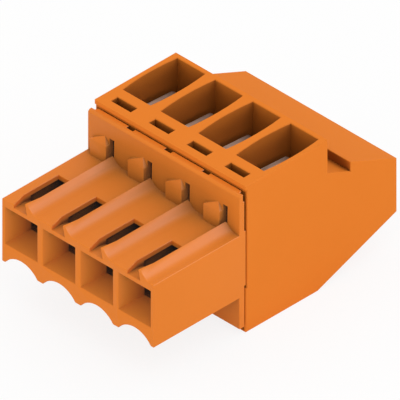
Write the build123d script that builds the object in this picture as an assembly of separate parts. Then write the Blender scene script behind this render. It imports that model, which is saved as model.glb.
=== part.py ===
from build123d import *
import os
from math import radians, tan

# A four-pole socket header with spring clamps, for wires on one side and header pins on the other.
# Millimetres, +Z up. Wires enter from +Y, the mating header comes from -Y, poles run along X.
# The origin lies under the middle of the part, on the face that it rests on.

# Poles
poles = 4
pitch = 3.5
side_allowance = 0.025

# Lengths along Y
plug_length = 7.95
flange_thickness = 0.6
clamp_depth = 14.0
deck_depth = 7.6
base_depth = 6.65

# Heights above the resting face
deck_height = 11.7
flange_top = 11.2
flange_edge = 0.15
flange_bottom = 0.55
plug_top = 8.05
plug_bottom = 3.05
rear_top = 7.0
rear_bottom = 2.75
rear_slope = 23.2

# Marker groove behind the deck
groove_width = 2.1
groove_depth = 0.75

# Mating openings in the plug's front
mouth_width = 3.0
mouth_height = 2.95
mouth_center = 6.0
throat_size = 2.0
funnel_depth = 1.3
throat_depth = 0.65
cell_width = 2.35
cell_floor = 4.6
cell_roof = 7.65

# Scallops under the plug, one for each pole
scallop_chord = 3.0
scallop_rise = 0.77

# Slots and ridges along the plug's top
slot_left = 1.03
slot_right = 0.52
slot_front_left = 0.67
slot_break = 0.4
slot_end_gap = 3.45
slot_lip = 0.25
ridge_height = 0.6
ridge_lean = 0.18
ridge_foot = 0.6
ridge_fillet = 0.8

# Lugs in front of the flange, and their recesses
lug_width = 1.5
lug_offset = -0.5
lug_proud = 0.36
lug_height = 1.3
lug_peak = 0.55
lug_corner = 0.42
recess_depth = 0.45
recess_width = 0.4
recess_lift = 0.5

# Seam between the two housings
seam_relief = 0.12
seam_band = 0.4
seam_drop = 0.36
seam_groove = 0.7
upper_relief_bottom = 8.2
lower_relief_top = 3.82
rear_relief_bottom = 3.52
seam_notch_width = 0.6
seam_notch_depth = 0.25
seam_notch_drop = 0.6

# Chambers of the clamp housing
chamber_width = 2.55
chamber_depth = 7.2
chamber_floor = 3.0
chamber_roof = 10.25

# Screwdriver openings in the deck
port_start = 2.16
port_bulge = 0.17
port_bulge_bottom = 8.7

# Latch windows in the deck, and the front housing's latch tongues
window_start = 0.7
window_depth = 0.6
window_width = 1.8
latch_clearance = 0.1
latch_thickness = 0.5
latch_barb = 0.3
latch_tip = 0.2

# Wire entries in the rear face
entry_center = 5.05
entry_width = 2.3
entry_height = 2.3
entry_mouth_width = 2.95
entry_mouth_height = 3.3
entry_funnel_depth = 2.6
entry_round = 0.5

# Clamp springs, bent from strip
spring_thickness = 0.3
spring_width = 2.3
pivot_y = 2.4
pivot_height = 8.35
pivot_bar_radius = 0.95
pivot_clearance = 0.1
spring_fall = 3.7
spring_rear_gap = 0.32
spring_bend = 0.35
spring_window_width = 1.5
spring_window_top = 8.75
clamp_gap = 0.05
clamp_bar_height = 0.6

# Contacts, stamped and bent from strip
strip_thickness = 0.4
rail_top = 6.6
rail_width = 1.7
rail_tongue_width = 1.3
rail_tongue_length = 1.5
rail_rear_gap = 0.1
box_width = 2.2
box_top = 7.3
box_bottom = 4.75
box_length = 2.9
box_rear = 0.45
step_start = 0.15
step_length = 0.8
arm_thickness = 0.3
arm_top = 6.8
arm_bottom = 5.15
arm_gap = 0.8
arm_pinch_reach = 2.2
arm_tip_reach = 2.95
arm_tip_gap = 1.25

# Places that follow from the sizes above
body_width = poles * pitch + 2 * side_allowance
overall_length = plug_length + flange_thickness + clamp_depth
front_y = -overall_length / 2
flange_y = front_y + plug_length
seam_y = flange_y + flange_thickness
rear_y = seam_y + clamp_depth
chamber_end = seam_y + chamber_depth
pole_x = [(n - (poles - 1) / 2) * pitch for n in range(poles)]
wall_x = [(n - poles / 2) * pitch for n in range(poles + 1)]


def block(x0, x1, y0, y1, z0, z1):
    """A box between two opposite corners."""
    middle = ((x0 + x1) / 2, (y0 + y1) / 2, (z0 + z1) / 2)
    return Pos(*middle) * Box(abs(x1 - x0), abs(y1 - y0), abs(z1 - z0))


def side_prism(points, x0, x1):
    """A side view, as (y, z) points, given thickness from x0 to x1."""
    outline = Polyline(*[(x0, y, z) for y, z in points], close=True)
    return extrude(make_face(outline), amount=x1 - x0, dir=(1, 0, 0))


def cross_section(x, y, z, width, height, corner):
    """A rounded rectangle facing -Y, centred on a point."""
    plane = Plane(origin=(x, y, z), x_dir=(1, 0, 0), z_dir=(0, -1, 0))
    return plane * RectangleRounded(width, height, corner)


def plan_prism(points, z0, z1):
    """A plan view, as (x, y) points, given height from z0 to z1."""
    outline = Polyline(*[(x, y, z0) for x, y in points], close=True)
    return extrude(make_face(outline), amount=z1 - z0, dir=(0, 0, 1))


def front_prism(points, y0, y1):
    """A front view, as (x, z) points, given length from y0 to y1."""
    outline = Polyline(*[(x, y0, z) for x, z in points], close=True)
    return extrude(make_face(outline), amount=y1 - y0, dir=(0, 1, 0))


def plug_ridge(x):
    """The raised rib beside a top slot: upright on the slot's side, falling away in a hollow curve."""
    left = x + slot_right
    root_z = plug_top - slot_lip
    crest = (left, front_y, plug_top + ridge_height)
    knee = (left + ridge_foot, front_y, plug_top)
    tail = (x + pitch / 2, front_y, plug_top)
    heel = (x + pitch / 2, front_y, root_z)
    root = (left, front_y, root_z)
    outline = FilletPolyline(crest, knee, tail, radius=ridge_fillet) + Polyline(tail, heel, root, crest)
    return extrude(make_face(outline), amount=plug_length, dir=(0, 1, 0))


def ridge_toe(x):
    """The rib's front end, which leans out over its slot."""
    left = x + slot_right
    tip = left - ridge_lean
    low = plug_top - slot_lip
    high = plug_top + ridge_height
    toe_end = front_y + funnel_depth
    plan = plan_prism([(tip, front_y), (left, front_y), (left, toe_end)], low, high)
    return plan & front_prism([(tip, high), (left, high), (left, low)], front_y, toe_end)


def plug_scallop(x):
    """The arched hollow under one pole."""
    low = plug_bottom - 1
    left = x - scallop_chord / 2
    right = x + scallop_chord / 2
    arch = ThreePointArc(
        (left, front_y, plug_bottom), (x, front_y, plug_bottom + scallop_rise), (right, front_y, plug_bottom)
    )
    rim = Polyline((right, front_y, plug_bottom), (right, front_y, low), (left, front_y, low),
                   (left, front_y, plug_bottom))
    return extrude(make_face(arch + rim), amount=plug_length, dir=(0, 1, 0))


def plug_cell(x):
    """The way in for one header pin: funnel, throat and the contact's cell behind them."""
    outer = Plane(origin=(x, front_y, mouth_center), x_dir=(1, 0, 0), z_dir=(0, -1, 0))
    inner = outer.offset(-funnel_depth)
    funnel = loft([
        outer * Rectangle(mouth_width, mouth_height),
        inner * Rectangle(throat_size, throat_size),
    ])
    half_throat = throat_size / 2
    throat_end = front_y + funnel_depth + throat_depth
    throat = block(x - half_throat, x + half_throat, front_y + funnel_depth, throat_end,
                   mouth_center - half_throat, mouth_center + half_throat)
    cell = block(x - cell_width / 2, x + cell_width / 2, throat_end, seam_y, cell_floor, cell_roof)
    return funnel + throat + cell


def plug_slot(x):
    """The slot over one contact, with a ramp that runs out at the front face."""
    cell_front = front_y + funnel_depth + throat_depth
    slot_end = flange_y - slot_end_gap
    slot_floor = cell_roof - slot_break
    slot_ceiling = plug_top + ridge_height + slot_break
    side_view = [
        (front_y, slot_ceiling),
        (front_y, plug_top - slot_lip),
        (cell_front, slot_floor),
        (slot_end, slot_floor),
        (slot_end, slot_ceiling),
    ]
    plan_view = [
        (x - slot_front_left, front_y),
        (x - slot_left, front_y + funnel_depth),
        (x - slot_left, slot_end),
        (x + slot_right, slot_end),
        (x + slot_right, front_y),
    ]
    side = side_prism(side_view, x - slot_left, x + slot_right)
    return side & plan_prism(plan_view, slot_floor, slot_ceiling)


def plug_lug(x):
    """One lug on the plug's top, rooted in the flange, with a ramp that rises to a peak."""
    left = x + lug_offset - lug_width / 2
    right = left + lug_width
    front = flange_y - lug_proud
    back = flange_y + recess_depth
    foot = plug_top - slot_lip
    shoulder = plug_top + lug_height
    peak = shoulder + lug_peak
    outline = [(left, foot), (right, foot), (right, shoulder), (right - lug_corner, peak), (left, shoulder)]
    ramp = [(front, foot), (front, shoulder), (flange_y, peak), (back, peak), (back, foot)]
    return front_prism(outline, front, back) & side_prism(ramp, left, right)


def lug_recess(x):
    """The upright slot in the flange beside one lug."""
    left = x + lug_offset + lug_width / 2
    return block(left, left + recess_width, flange_y, flange_y + recess_depth,
                 plug_top, plug_top + lug_height + recess_lift)


def latch_tongue(x):
    """A tongue behind the flange, whose barb springs up into a window of the deck."""
    half = window_width / 2 - latch_clearance
    top = chamber_roof - latch_clearance
    bottom = top - latch_thickness
    barb_front = seam_y + window_start + latch_clearance
    barb_back = seam_y + window_start + window_depth - latch_clearance
    outline = [
        (seam_y - latch_clearance, bottom),
        (barb_back + latch_tip, bottom),
        (barb_back + latch_tip, top - latch_tip / 2),
        (barb_back, top),
        (barb_front, top + latch_barb),
        (barb_front, top),
        (seam_y - latch_clearance, top),
    ]
    return side_prism(outline, x - half, x + half)


def build_front_housing():
    """Plug and flange in one moulding, with cells, slots, ridges, lugs and latches."""
    half = body_width / 2
    body = block(-half, half, front_y, flange_y, plug_bottom, plug_top)
    body += block(-half, half, flange_y, seam_y, flange_bottom, flange_top)
    flange_corner = [
        (flange_y, flange_top - flange_edge),
        (flange_y, flange_top),
        (flange_y + flange_edge, flange_top),
    ]
    body -= side_prism(flange_corner, -half, half)
    for x in pole_x:
        body -= plug_scallop(x)
        body -= lug_recess(x)
        body += plug_ridge(x)
        body += latch_tongue(x)
    for x in pole_x:
        body -= plug_cell(x)
        body -= plug_slot(x)
        body += ridge_toe(x)
        body += plug_lug(x)
    for side in (-1, 1):
        band_edge = side * (half - seam_band)
        body -= block(side * half, band_edge, seam_y - seam_relief, seam_y, upper_relief_bottom, flange_top)
        body -= block(side * half, band_edge, seam_y - seam_relief, seam_y, flange_bottom, lower_relief_top)
    for x in wall_x:
        body -= block(x - seam_notch_width / 2, x + seam_notch_width / 2, seam_y - seam_notch_depth, seam_y,
                      flange_top - seam_notch_drop, flange_top)
    return body


def clamp_side_view():
    """The clamp housing's side view, from its front top corner round by the rear."""
    fall = tan(radians(rear_slope))
    groove_end = seam_y + deck_depth + groove_width
    groove_top = rear_top + (rear_y - groove_end) * fall
    groove_floor = groove_top - groove_depth
    return [
        (seam_y, deck_height),
        (seam_y + deck_depth, deck_height),
        (seam_y + deck_depth, groove_floor + groove_width * fall),
        (groove_end, groove_floor),
        (groove_end, groove_top),
        (rear_y, rear_top),
        (rear_y, rear_bottom),
        (seam_y + base_depth, 0),
        (seam_y, 0),
    ]


def deck_port(x):
    """The screwdriver opening over one spring, with sides that bulge a little."""
    half = chamber_width / 2
    start = seam_y + port_start
    middle = (start + chamber_end) / 2
    level = port_bulge_bottom
    front_left = (x - half, start, level)
    front_right = (x + half, start, level)
    rear_left = (x - half, chamber_end, level)
    rear_right = (x + half, chamber_end, level)
    left = ThreePointArc(front_left, (x - half - port_bulge, middle, level), rear_left)
    right = ThreePointArc(rear_right, (x + half + port_bulge, middle, level), front_right)
    outline = left + Line(rear_left, rear_right) + right + Line(front_right, front_left)
    return extrude(make_face(outline), amount=deck_height - level, dir=(0, 0, 1))


def wire_entry(x):
    """One wire's way in, from the funnel in the rear face to the chamber."""
    mouth = rear_y - entry_funnel_depth
    funnel = loft([
        cross_section(x, rear_y, entry_center, entry_mouth_width, entry_mouth_height, entry_round),
        cross_section(x, mouth, entry_center, entry_width, entry_height, entry_round),
    ])
    straight = extrude(cross_section(x, mouth, entry_center, entry_width, entry_height, entry_round),
                       amount=mouth - chamber_end)
    return funnel + straight


def build_rear_housing():
    """Clamp housing: chambers open at the seam, ports and windows on top, entries at the rear."""
    half = body_width / 2
    body = side_prism(clamp_side_view(), -half, half)
    relief_top = deck_height - seam_drop
    relief_end = seam_y + seam_relief
    body -= block(-half, half, seam_y, relief_end, relief_top - seam_groove, relief_top)
    for side in (-1, 1):
        band_edge = side * (half - seam_band)
        body -= block(side * half, band_edge, seam_y, relief_end, rear_relief_bottom, relief_top)
    for x in pole_x:
        body -= block(x - chamber_width / 2, x + chamber_width / 2, seam_y, chamber_end,
                      chamber_floor, chamber_roof)
        body -= deck_port(x)
        window_y = seam_y + window_start
        body -= block(x - window_width / 2, x + window_width / 2, window_y, window_y + window_depth,
                      chamber_roof, deck_height)
        body -= wire_entry(x)
    pivot_bars = Pos(0, seam_y + pivot_y, pivot_height) * Rot(0, 90, 0) * Cylinder(
        pivot_bar_radius, (poles - 1) * pitch + chamber_width + 0.2)
    return body + pivot_bars


def build_contact(x):
    """A twin-arm socket at the front, and the rail that carries the clamp at the rear."""
    half_box = box_width / 2
    rear_end = seam_y - box_rear
    front_end = rear_end - box_length
    rail_end = chamber_end - rail_rear_gap
    rail_bottom = rail_top - strip_thickness
    step_y = seam_y + step_start
    strip = [
        (front_end, box_top),
        (step_y, box_top),
        (step_y + step_length, rail_top),
        (rail_end, rail_top),
        (rail_end, rail_bottom),
        (step_y + step_length, rail_bottom),
        (step_y, box_top - strip_thickness),
        (front_end, box_top - strip_thickness),
    ]
    contact = side_prism(strip, x - rail_width / 2, x + rail_width / 2)
    contact += block(x - half_box, x + half_box, front_end, rear_end, box_top - strip_thickness, box_top)
    tongue = rail_end - rail_tongue_length
    for side in (-1, 1):
        contact -= block(x + side * rail_tongue_width / 2, x + side * rail_width, tongue, rail_end,
                         rail_bottom - 1, rail_top + 1)
        contact += block(x + side * half_box, x + side * (half_box - arm_thickness), front_end, rear_end,
                         box_bottom, box_top)
        pinch_y = front_end - arm_pinch_reach
        tip_y = front_end - arm_tip_reach
        root = x + side * (half_box - arm_thickness / 2)
        arm_line = Polyline(
            (root, front_end + arm_thickness, arm_bottom),
            (root, front_end, arm_bottom),
            (x + side * (arm_gap + arm_thickness) / 2, pinch_y, arm_bottom),
            (x + side * (arm_tip_gap + arm_thickness) / 2, tip_y, arm_bottom),
        )
        arm = extrude(trace(arm_line, line_width=arm_thickness), amount=arm_top - arm_bottom, dir=(0, 0, 1))
        contact += arm
    return contact


def build_spring(x):
    """A clamp spring: a hook round the pivot bar, a top leg, and an upright leg with a window."""
    pivot = (seam_y + pivot_y, pivot_height)
    radius = pivot_bar_radius + pivot_clearance + spring_thickness / 2
    leg_y = chamber_end - spring_rear_gap - spring_thickness / 2
    leg_top = pivot[1] + radius - (leg_y - pivot[0]) * tan(radians(spring_fall))
    bar_top = rail_top - strip_thickness - clamp_gap
    leg_end = bar_top - clamp_bar_height
    half = spring_width / 2
    hook_top = (pivot[0], pivot[1] + radius)
    hook = JernArc(start=hook_top, tangent=(-1, 0), radius=radius, arc_size=200)
    legs = FilletPolyline(hook_top, (leg_y, leg_top), (leg_y, leg_end), radius=spring_bend)
    outline = trace(hook + legs, line_width=spring_thickness)
    flat = extrude(outline, amount=spring_width)
    upright = Plane(origin=(x - half, 0, 0), x_dir=(0, 1, 0), z_dir=(1, 0, 0))
    spring = upright * flat
    window = block(x - spring_window_width / 2, x + spring_window_width / 2,
                   leg_y - spring_thickness, leg_y + spring_thickness, bar_top, spring_window_top)
    return spring - window


def write_part(shape, name):
    """Writes one node's STEP file."""
    export_step(shape, os.path.join("parts", name + ".step"))


os.makedirs("parts", exist_ok=True)
write_part(build_front_housing(), "front_housing")
write_part(build_rear_housing(), "rear_housing")
for number, x in enumerate(pole_x, start=1):
    write_part(build_contact(x), "contact_" + str(number))
    write_part(build_spring(x), "clamp_spring_" + str(number))
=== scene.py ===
import math
import bpy
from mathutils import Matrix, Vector


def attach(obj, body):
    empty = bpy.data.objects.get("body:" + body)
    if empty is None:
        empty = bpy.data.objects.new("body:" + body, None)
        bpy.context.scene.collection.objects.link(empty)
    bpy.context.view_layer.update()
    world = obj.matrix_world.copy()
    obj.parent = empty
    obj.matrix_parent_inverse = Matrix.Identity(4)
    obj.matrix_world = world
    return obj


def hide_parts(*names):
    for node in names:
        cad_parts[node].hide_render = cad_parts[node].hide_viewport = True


# Four-pole socket connector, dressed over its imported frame. Lengths are in metres.
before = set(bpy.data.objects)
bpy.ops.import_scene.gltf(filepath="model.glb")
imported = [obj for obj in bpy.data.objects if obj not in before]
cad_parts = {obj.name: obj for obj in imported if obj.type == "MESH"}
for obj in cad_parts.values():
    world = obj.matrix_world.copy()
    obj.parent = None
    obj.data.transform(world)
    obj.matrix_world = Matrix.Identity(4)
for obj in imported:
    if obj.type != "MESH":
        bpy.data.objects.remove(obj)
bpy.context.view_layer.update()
print("frame: %d nodes" % len(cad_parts))

mm = 0.001

cameraSetup = {
    "target": (0.024 * mm, 0.024 * mm, 5.78 * mm),
    "direction": (1, -1, 1),
    "distance": 0.35,
    "width": 26.2 * mm,
    "nearest": 0.01,
    "farthest": 5,
}


def placeCamera(setup):
    data = bpy.data.cameras.new("photoCamera")
    data.type = "ORTHO"
    data.ortho_scale = setup["width"]
    data.clip_start = setup["nearest"]
    data.clip_end = setup["farthest"]
    camera = bpy.data.objects.new("photoCamera", data)
    bpy.context.scene.collection.objects.link(camera)
    direction = Vector(setup["direction"]).normalized()
    camera.location = Vector(setup["target"]) + direction * setup["distance"]
    camera.rotation_euler = direction.to_track_quat("Z", "Y").to_euler()
    bpy.context.scene.camera = camera


placeCamera(cameraSetup)


def newGroup(name, inputs, outputs):
    group = bpy.data.node_groups.new(name, "ShaderNodeTree")
    for socketName, value in inputs:
        socket = group.interface.new_socket(socketName, in_out="INPUT", socket_type="NodeSocketFloat")
        socket.default_value = value
    for socketName in outputs:
        group.interface.new_socket(socketName, in_out="OUTPUT", socket_type="NodeSocketFloat")
    return group, group.nodes.new("NodeGroupInput"), group.nodes.new("NodeGroupOutput")


def feed(tree, value, socket):
    # A link where the value is another node's output, else a plain number
    if isinstance(value, bpy.types.NodeSocket):
        tree.links.new(value, socket)
    else:
        socket.default_value = value


def mathNode(tree, operation, first, second=0.0):
    node = tree.nodes.new("ShaderNodeMath")
    node.operation = operation
    feed(tree, first, node.inputs[0])
    feed(tree, second, node.inputs[1])
    return node.outputs["Value"]


def oneMinus(tree, value):
    return mathNode(tree, "SUBTRACT", 1.0, value)


def noiseNode(tree, vector, scale, look):
    node = tree.nodes.new("ShaderNodeTexNoise")
    tree.links.new(vector, node.inputs["Vector"])
    feed(tree, scale, node.inputs["Scale"])
    node.inputs["Detail"].default_value = look["detail"]
    node.inputs["Roughness"].default_value = look["roughness"]
    return node.outputs["Fac"]


def riseNode(tree, value, low, high):
    # 0 up to the low end, 1 from the high end on, and a soft step between
    node = tree.nodes.new("ShaderNodeMapRange")
    node.interpolation_type = "SMOOTHSTEP"
    tree.links.new(value, node.inputs["Value"])
    feed(tree, low, node.inputs["From Min"])
    feed(tree, high, node.inputs["From Max"])
    return node.outputs["Result"]


def opennessNode(tree, reach, samples):
    # 1 where nothing of the piece stands within reach, less in its hollows
    node = tree.nodes.new("ShaderNodeAmbientOcclusion")
    node.samples = samples
    node.only_local = True
    tree.links.new(reach, node.inputs["Distance"])
    return node.outputs["AO"]


# The plane where the two housings meet, and the width over which shade is painted into its groove; least
# is the darkest painted shade there
seam = {
    "y": -2.725 * mm, "edge": 0.01 * mm, "fade": 0.1 * mm,
    "sideLow": 6.8 * mm, "sideHigh": 6.92 * mm, "least": 0.3,
}


def paintedSeamShade(group, axes, inside):
    # Painted shade: low in the grooves and notches where the two housings meet, 1 on all the rest
    depth = inside.outputs["Seam Depth"]
    top = inside.outputs["Seam Top"]
    bottom = inside.outputs["Seam Bottom"]
    fromSeam = mathNode(group, "ABSOLUTE", mathNode(group, "SUBTRACT", axes.outputs["Y"], seam["y"]))
    away = riseNode(group, fromSeam, depth, mathNode(group, "ADD", depth, seam["edge"]))
    fromMiddle = mathNode(group, "ABSOLUTE", axes.outputs["X"])
    side = riseNode(group, fromMiddle, seam["sideLow"], seam["sideHigh"])
    above = riseNode(group, axes.outputs["Z"], mathNode(group, "SUBTRACT", top, seam["fade"]), top)
    raised = riseNode(group, axes.outputs["Z"], bottom, mathNode(group, "ADD", bottom, seam["fade"]))
    ends = mathNode(group, "MAXIMUM", above, oneMinus(group, raised))
    clear = mathNode(group, "MAXIMUM", mathNode(group, "MAXIMUM", away, side), ends)
    return mathNode(group, "MAXIMUM", clear, seam["least"])


# The square mouths for the header's pins: the light painted into them fades out towards the ceiling and
# the back
mouth = {"ceilingLow": 6.5 * mm, "ceilingHigh": 7.4 * mm, "fade": 0.4 * mm}


def paintedMouthLight(group, axes, inside):
    # Painted light in the pin mouths, as if falling in from the front
    back = inside.outputs["Mouth Back"]
    behind = riseNode(group, axes.outputs["Y"], back, mathNode(group, "ADD", back, mouth["fade"]))
    overhead = riseNode(group, axes.outputs["Z"], mouth["ceilingLow"], mouth["ceilingHigh"])
    beyond = mathNode(group, "MAXIMUM", behind, overhead)
    return mathNode(group, "MULTIPLY", oneMinus(group, beyond), inside.outputs["Mouth Painted Light"])


# The walls of the slots in the plug's top, from the cell's roof up to just under the rim, where light is
# painted on
slotRim = {
    "low": 7.35 * mm, "high": 8.03 * mm, "edge": 0.015 * mm,
    "back": -6.76 * mm, "fade": 0.1 * mm,
}


def paintedRimLight(group, axes, inside):
    # Painted light on the plug slots' walls just under their rims, as if it still reached them
    raised = riseNode(group, axes.outputs["Z"], slotRim["low"], slotRim["high"])
    above = riseNode(group, axes.outputs["Z"], slotRim["high"], slotRim["high"] + slotRim["edge"])
    behind = riseNode(group, axes.outputs["Y"], slotRim["back"], slotRim["back"] + slotRim["fade"])
    within = oneMinus(group, mathNode(group, "MAXIMUM", above, behind))
    lit = mathNode(group, "MULTIPLY", raised, within)
    return mathNode(group, "MULTIPLY", lit, inside.outputs["Rim Painted Light"])


moulding = {
    "cloud": {"detail": 3.0, "roughness": 0.55},
    "grain": {"detail": 2.0, "roughness": 0.6},
    "speck": {"detail": 1.0, "roughness": 0.5},
    "speckScale": 0.22,  # of the grain's scale
    "cloudTone": 0.8, "grainTone": 0.2,
    "speckHeight": 0.6,
    "opennessSamples": 12,
    "dullBelow": 0.36, "glossFrom": 0.66, "dullShift": 3.0,
}


def buildMouldedGroup(look):
    # Cloudy tone from the melt's flow, the fine grain of an eroded mould, and the openness mask for the
    # shade and light painted into the base colour
    group, inside, outside = newGroup(
        "mouldedSurface",
        [
            ("Cloud Scale", 260.0), ("Grain Scale", 15000.0),
            ("Hollow Reach", 8.0 * mm), ("Near Reach", 1.5 * mm), ("Near Lift", 0.0),
            ("Mouth Back", -1.0), ("Mouth Painted Light", 0.0), ("Rim Painted Light", 0.0),
            ("Seam Depth", 0.13 * mm), ("Seam Top", 11.18 * mm), ("Seam Bottom", 0.05 * mm),
        ],
        ["Tone", "Sheen Shift", "Height", "Painted Shade Openness"],
    )
    place = group.nodes.new("ShaderNodeTexCoord").outputs["Object"]
    axes = group.nodes.new("ShaderNodeSeparateXYZ")
    group.links.new(place, axes.inputs["Vector"])
    cloud = noiseNode(group, place, inside.outputs["Cloud Scale"], look["cloud"])
    grain = noiseNode(group, place, inside.outputs["Grain Scale"], look["grain"])
    speckScale = mathNode(group, "MULTIPLY", inside.outputs["Grain Scale"], look["speckScale"])
    speck = noiseNode(group, place, speckScale, look["speck"])

    cloudTone = mathNode(group, "MULTIPLY", cloud, look["cloudTone"])
    grainTone = mathNode(group, "MULTIPLY", grain, look["grainTone"])
    group.links.new(mathNode(group, "ADD", cloudTone, grainTone), outside.inputs["Tone"])
    height = mathNode(group, "ADD", grain, mathNode(group, "MULTIPLY", speck, look["speckHeight"]))
    group.links.new(height, outside.inputs["Height"])

    # Painted shade mask: 1 on open faces, falling to 0 deep in slots and ports, from the piece's own
    # occlusion. Walls close by lift it again, because the lamps darken narrow places enough by themselves
    far = opennessNode(group, inside.outputs["Hollow Reach"], look["opennessSamples"])
    near = opennessNode(group, inside.outputs["Near Reach"], look["opennessSamples"])
    crowded = mathNode(group, "MULTIPLY", oneMinus(group, near), inside.outputs["Near Lift"])
    openness = mathNode(group, "MAXIMUM", far, crowded)

    # Hollows stay dull, so that the ribs' lamp puts no gloss into them
    closed = oneMinus(group, riseNode(group, openness, look["dullBelow"], look["glossFrom"]))
    dull = mathNode(group, "MULTIPLY", closed, look["dullShift"])
    sheen = mathNode(group, "ADD", mathNode(group, "SUBTRACT", cloud, 0.5), dull)
    group.links.new(sheen, outside.inputs["Sheen Shift"])

    # Painted light in the pin mouths and under the slot rims, and painted shade in the seam's groove
    openness = mathNode(group, "MAXIMUM", openness, paintedMouthLight(group, axes, inside))
    openness = mathNode(group, "MAXIMUM", openness, paintedRimLight(group, axes, inside))
    openness = mathNode(group, "MULTIPLY", openness, paintedSeamShade(group, axes, inside))
    group.links.new(openness, outside.inputs["Painted Shade Openness"])
    return group


rolling = {
    "stretch": (1.0, 0.02, 0.02),  # long lines across X
    "lines": {"detail": 2.0, "roughness": 0.6},
    "stain": {"detail": 3.0, "roughness": 0.6},
    "lineTone": 0.5, "stainTone": 0.5,
}


def buildRolledGroup(look):
    # Fine lines along the strip that rolling leaves, and soft stains across it
    group, inside, outside = newGroup(
        "rolledStrip",
        [("Line Scale", 9000.0), ("Stain Scale", 900.0)],
        ["Tone", "Sheen Shift", "Height"],
    )
    place = group.nodes.new("ShaderNodeTexCoord").outputs["Object"]
    stretch = group.nodes.new("ShaderNodeMapping")
    stretch.inputs["Scale"].default_value = look["stretch"]
    group.links.new(place, stretch.inputs["Vector"])
    lines = noiseNode(group, stretch.outputs["Vector"], inside.outputs["Line Scale"], look["lines"])
    stain = noiseNode(group, place, inside.outputs["Stain Scale"], look["stain"])
    lineTone = mathNode(group, "MULTIPLY", lines, look["lineTone"])
    stainTone = mathNode(group, "MULTIPLY", stain, look["stainTone"])
    tone = mathNode(group, "ADD", lineTone, stainTone)
    group.links.new(tone, outside.inputs["Tone"])
    group.links.new(mathNode(group, "SUBTRACT", tone, 0.5), outside.inputs["Sheen Shift"])
    group.links.new(lines, outside.inputs["Height"])
    return group


mouldedGroup = buildMouldedGroup(moulding)
rolledGroup = buildRolledGroup(rolling)


def rampNode(tree, value, stops):
    node = tree.nodes.new("ShaderNodeValToRGB")
    ramp = node.color_ramp
    while len(ramp.elements) < len(stops):
        ramp.elements.new(1.0)
    for element, (position, colour) in zip(ramp.elements, stops):
        element.position = position
        element.color = (*colour, 1)
    tree.links.new(value, node.inputs["Fac"])
    return node.outputs["Color"]


def tintNode(tree, first, second):
    node = tree.nodes.new("ShaderNodeMix")
    node.data_type = "RGBA"
    node.blend_type = "MULTIPLY"
    node.inputs["Factor"].default_value = 1.0
    tree.links.new(first, node.inputs["A"])
    tree.links.new(second, node.inputs["B"])
    return node.outputs["Result"]


toneSpan = (0.3, 0.7)  # the noise's usual range, from the dark colour to the light one


def dressMaterial(name, group, look):
    material = bpy.data.materials.new(name)
    material.use_nodes = True
    tree = material.node_tree
    shader = tree.nodes["Principled BSDF"]
    shader.inputs["Metallic"].default_value = look["metallic"]
    shader.inputs["IOR"].default_value = look["ior"]
    shader.inputs["Specular IOR Level"].default_value = look["specular"]
    effect = tree.nodes.new("ShaderNodeGroup")
    effect.node_tree = group
    for socketName, value in look["effect"].items():
        effect.inputs[socketName].default_value = value
    tones = tuple(zip(toneSpan, (look["dark"], look["light"])))
    colour = rampNode(tree, effect.outputs["Tone"], tones)
    # Painted shade: the base colour is darkened by the openness mask in hollows and in the seam's groove
    if "paintedShade" in look:
        colour = tintNode(tree, colour, rampNode(tree, effect.outputs["Painted Shade Openness"], look["paintedShade"]))
    tree.links.new(colour, shader.inputs["Base Color"])
    shift = mathNode(tree, "MULTIPLY", effect.outputs["Sheen Shift"], look["roughnessSpread"])
    tree.links.new(mathNode(tree, "ADD", shift, look["roughness"]), shader.inputs["Roughness"])
    bump = tree.nodes.new("ShaderNodeBump")
    bump.inputs["Strength"].default_value = look["bump"]
    bump.inputs["Distance"].default_value = look["bumpDepth"]
    tree.links.new(effect.outputs["Height"], bump.inputs["Height"])
    tree.links.new(bump.outputs["Normal"], shader.inputs["Normal"])
    return material


# Painted shade: the plastic's colour by openness, from the deepest hollows (dark painted shade) to the
# open faces (the plastic's own orange)
frontPaintedShade = (
    (0.0, (0.01, 0.004, 0.002)),
    (0.20, (0.03, 0.014, 0.005)),
    (0.26, (0.28, 0.098, 0.016)),
    (0.40, (0.41, 0.144, 0.023)),
    (0.50, (0.48, 0.170, 0.025)),
    (0.60, (0.600, 0.195, 0.027)),
    (0.75, (0.70, 0.206, 0.028)),
    (0.90, (0.75, 0.206, 0.023)),
    (1.0, (0.81, 0.218, 0.022)),
)
rearPaintedShade = (
    (0.0, (0.20, 0.062, 0.010)),
    (0.15, (0.25, 0.079, 0.013)),
    (0.25, (0.285, 0.084, 0.012)),
    (0.35, (0.365, 0.110, 0.016)),
    (0.45, (0.49, 0.146, 0.020)),
    (0.60, (0.63, 0.183, 0.023)),
    (1.0, (0.815, 0.221, 0.027)),
)
frontPlastic = {
    "dark": (0.975, 0.965, 0.90), "light": (1.0, 1.0, 1.0), "paintedShade": frontPaintedShade,
    "metallic": 0.0, "ior": 1.5, "specular": 0.12,
    "roughness": 0.45, "roughnessSpread": 0.15, "bump": 0.12, "bumpDepth": 0.01 * mm,
    "effect": {
        "Cloud Scale": 260.0, "Grain Scale": 15000.0,
        "Hollow Reach": 8.0 * mm, "Near Reach": 1.5 * mm, "Near Lift": 0.5,
        "Mouth Back": -9.5 * mm, "Mouth Painted Light": 0.65, "Rim Painted Light": 1.0,
        "Seam Depth": 0.26 * mm, "Seam Top": 11.19 * mm, "Seam Bottom": 0.57 * mm,
    },
}
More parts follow.
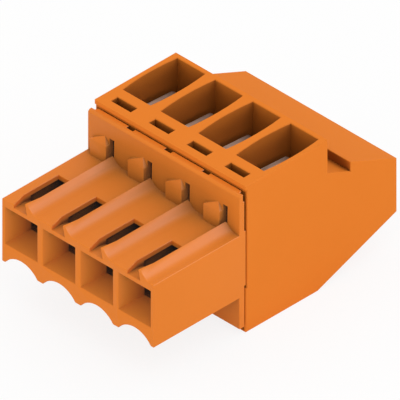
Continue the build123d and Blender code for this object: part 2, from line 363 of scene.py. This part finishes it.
rearPlastic = {
    "dark": (0.975, 0.965, 0.90), "light": (1.0, 1.0, 1.0), "paintedShade": rearPaintedShade,
    "metallic": 0.0, "ior": 1.5, "specular": 0.02,
    "roughness": 0.6, "roughnessSpread": 0.15, "bump": 0.12, "bumpDepth": 0.01 * mm,
    "effect": {
        "Cloud Scale": 220.0, "Grain Scale": 13000.0,
        "Hollow Reach": 8.0 * mm, "Near Reach": 1.5 * mm, "Near Lift": 0.0,
        "Mouth Back": -1.0, "Mouth Painted Light": 0.0, "Rim Painted Light": 0.0,  # it has no mouths and no plug slots
        "Seam Depth": 0.13 * mm, "Seam Top": 11.18 * mm, "Seam Bottom": 0.05 * mm,
    },
}
# The steel's warm brown tone is partly painted reflection of the orange housing around it; bare steel is
# greyer
springSteel = {
    "dark": (0.42, 0.32, 0.26), "light": (0.62, 0.49, 0.41),
    "metallic": 1.0, "ior": 1.5, "specular": 0.5,
    "roughness": 0.5, "roughnessSpread": 0.3, "bump": 0.2, "bumpDepth": 0.005 * mm,
    "effect": {"Line Scale": 9000.0, "Stain Scale": 900.0},
}
tinnedCopper = {
    "dark": (0.52, 0.50, 0.465), "light": (0.66, 0.645, 0.615),
    "metallic": 1.0, "ior": 1.5, "specular": 0.5,
    "roughness": 0.28, "roughnessSpread": 0.35, "bump": 0.1, "bumpDepth": 0.005 * mm,
    "effect": {"Line Scale": 6000.0, "Stain Scale": 1500.0},
}
materials = {
    "front_plastic": dressMaterial("frontPlastic", mouldedGroup, frontPlastic),
    "rear_plastic": dressMaterial("rearPlastic", mouldedGroup, rearPlastic),
    "spring_steel": dressMaterial("springSteel", rolledGroup, springSteel),
    "contact_metal": dressMaterial("tinnedCopper", rolledGroup, tinnedCopper),
}
print("materials made")


def deselectAll():
    if bpy.context.object and bpy.context.object.mode != "OBJECT":
        bpy.ops.object.mode_set(mode="OBJECT")
    bpy.ops.object.select_all(action="DESELECT")


def weighConvexEdges(mesh, sharpAngle):
    # Full bevel weight on the sharp edges that stand out, none on the inner corners
    sides = {}
    for face in mesh.polygons:
        for loopIndex in face.loop_indices:
            loop = mesh.loops[loopIndex]
            sides.setdefault(loop.edge_index, []).append((face.normal.copy(), loop.vertex_index))
    weights = [0.0] * len(mesh.edges)
    for edgeIndex, pair in sides.items():
        if len(pair) != 2:
            continue
        (firstNormal, start), (secondNormal, _) = pair
        if firstNormal.angle(secondNormal, 0) < sharpAngle:
            continue
        ends = mesh.edges[edgeIndex].vertices
        end = ends[1] if ends[0] == start else ends[0]
        along = mesh.vertices[end].co - mesh.vertices[start].co
        if firstNormal.cross(secondNormal).dot(along) > 0:
            weights[edgeIndex] = 1.0
    mesh.attributes.new("bevel_weight_edge", "FLOAT", "EDGE").data.foreach_set("value", weights)


def softEdged(node, name, body, slotName, edge):
    # A copy of the node's mesh, merged, with its sharp edges rounded as a mould or a die leaves them
    deselectAll()
    piece = bpy.data.objects.new(name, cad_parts[node].data.copy())
    bpy.context.scene.collection.objects.link(piece)
    piece.data.materials.clear()
    piece.data.materials.append(materials[slotName])
    piece.select_set(True)
    bpy.context.view_layer.objects.active = piece
    bpy.ops.object.mode_set(mode="EDIT")
    bpy.ops.mesh.select_all(action="SELECT")
    bpy.ops.mesh.customdata_custom_splitnormals_clear()
    bpy.ops.mesh.remove_doubles(threshold=edge["merge"])
    bpy.ops.mesh.dissolve_limited(angle_limit=math.radians(edge["flatAngle"]))
    bpy.ops.object.mode_set(mode="OBJECT")
    weighConvexEdges(piece.data, math.radians(edge["sharpAngle"]))
    bpy.ops.object.modifier_add(type="BEVEL")
    bevel = piece.modifiers[-1]
    bevel.width = edge["width"]
    bevel.segments = 1
    bevel.limit_method = "WEIGHT"
    bevel.use_clamp_overlap = False
    bpy.ops.object.modifier_apply(modifier=bevel.name)
    bpy.ops.object.shade_smooth_by_angle(angle=math.radians(edge["sharpAngle"]))
    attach(piece, body)
    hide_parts(node)
    return piece


# Angles in degrees
frontEdges = {"merge": 1e-7, "flatAngle": 0.5, "sharpAngle": 35, "width": 0.03 * mm}
rearEdges = {"merge": 1e-7, "flatAngle": 0.5, "sharpAngle": 35, "width": 0.05 * mm}
stripEdges = {"merge": 1e-7, "flatAngle": 0.5, "sharpAngle": 35, "width": 0.04 * mm}

plugPieces = [softEdged("front_housing", "frontHousing", "housing", "front_plastic", frontEdges)]
otherPieces = [softEdged("rear_housing", "rearHousing", "housing", "rear_plastic", rearEdges)]
print("housings dressed")
for pole in range(1, 5):
    body = "spring_%d" % pole
    contact = softEdged("contact_%d" % pole, "contact%d" % pole, "housing", "contact_metal", stripEdges)
    spring = softEdged("clamp_spring_%d" % pole, "clampSpring%d" % pole, body, "spring_steel", stripEdges)
    otherPieces += [contact, spring]
print("contacts and springs dressed")


# Two of the lamps stand in one place and give gloss alone. The ribs' lamp lights the plug as if
# the flange weren't in its way, and the other one lights the rest.
glint = {
    "direction": (0.62, 0.35, 0.7), "distance": 0.3, "size": 0.2,
    "power": 2.5, "diffuse": False, "shadow": True,
}
ribGlint = {
    "direction": (0.62, 0.35, 0.7), "distance": 0.3, "size": 0.2,
    "power": 2.0, "diffuse": False, "shadow": False,
}
key = {
    "direction": (0.55, -0.25, 0.8), "distance": 0.3, "size": 0.2,
    "power": 0.14, "diffuse": True, "shadow": True,
}
studio = {
    "floorSize": 1.2,
    "floorColour": (0.95, 0.95, 0.95),
    "floorWhite": 0.85,  # how much plain white the camera sees in the floor
    "world": 0.9,
    "aim": (0, 0, 6 * mm),
}


def softbox(name, setup, aim, lit=()):
    data = bpy.data.lights.new(name, "AREA")
    data.shape = "SQUARE"
    data.size = setup["size"]
    data.energy = setup["power"]
    data.use_shadow = setup["shadow"]
    lamp = bpy.data.objects.new(name, data)
    bpy.context.scene.collection.objects.link(lamp)
    direction = Vector(setup["direction"]).normalized()
    lamp.location = Vector(aim) + direction * setup["distance"]
    lamp.rotation_euler = direction.to_track_quat("Z", "Y").to_euler()
    lamp.visible_diffuse = setup["diffuse"]
    if lit:
        receivers = bpy.data.collections.new(name + "Lit")
        for piece in lit:
            receivers.objects.link(piece)
        lamp.light_linking.receiver_collection = receivers


def seenRays(tree):
    # 1 on the rays that look at the backdrop itself: the camera's, a reflection's and a clear body's
    rays = tree.nodes.new("ShaderNodeLightPath")
    seen = mathNode(tree, "MAXIMUM", rays.outputs["Is Camera Ray"], rays.outputs["Is Glossy Ray"])
    return mathNode(tree, "MAXIMUM", seen, rays.outputs["Is Transmission Ray"])


def layFloor(setup):
    deselectAll()
    bpy.ops.mesh.primitive_plane_add(size=setup["floorSize"], location=(0, 0, 0))
    floor = bpy.context.object
    floor.name = "floor"
    paper = bpy.data.materials.new("floorPaper")
    paper.use_nodes = True
    tree = paper.node_tree
    shader = tree.nodes["Principled BSDF"]
    shader.inputs["Base Color"].default_value = (*setup["floorColour"], 1)
    shader.inputs["Roughness"].default_value = 1.0
    shader.inputs["Specular IOR Level"].default_value = 0.0
    white = tree.nodes.new("ShaderNodeEmission")
    blend = tree.nodes.new("ShaderNodeMixShader")
    whiteShare = mathNode(tree, "MULTIPLY", seenRays(tree), setup["floorWhite"])
    tree.links.new(whiteShare, blend.inputs["Fac"])
    tree.links.new(shader.outputs["BSDF"], blend.inputs[1])
    tree.links.new(white.outputs["Emission"], blend.inputs[2])
    tree.links.new(blend.outputs["Shader"], tree.nodes["Material Output"].inputs["Surface"])
    floor.data.materials.append(paper)


def lightWorld(setup):
    # Soft light from all round, and plain white wherever the backdrop itself is seen
    world = bpy.data.worlds.new("studioWorld")
    bpy.context.scene.world = world
    world.use_nodes = True
    tree = world.node_tree
    background = tree.nodes["Background"]
    background.inputs["Color"].default_value = (1, 1, 1, 1)
    lift = mathNode(tree, "MULTIPLY", seenRays(tree), 1.0 - setup["world"])
    tree.links.new(mathNode(tree, "ADD", lift, setup["world"]), background.inputs["Strength"])


layFloor(studio)
lightWorld(studio)
softbox("glintBox", glint, studio["aim"], otherPieces)
softbox("ribGlintBox", ribGlint, studio["aim"], plugPieces)
softbox("keyBox", key, studio["aim"])
bpy.context.scene.view_settings.view_transform = "Standard"
print("studio made")
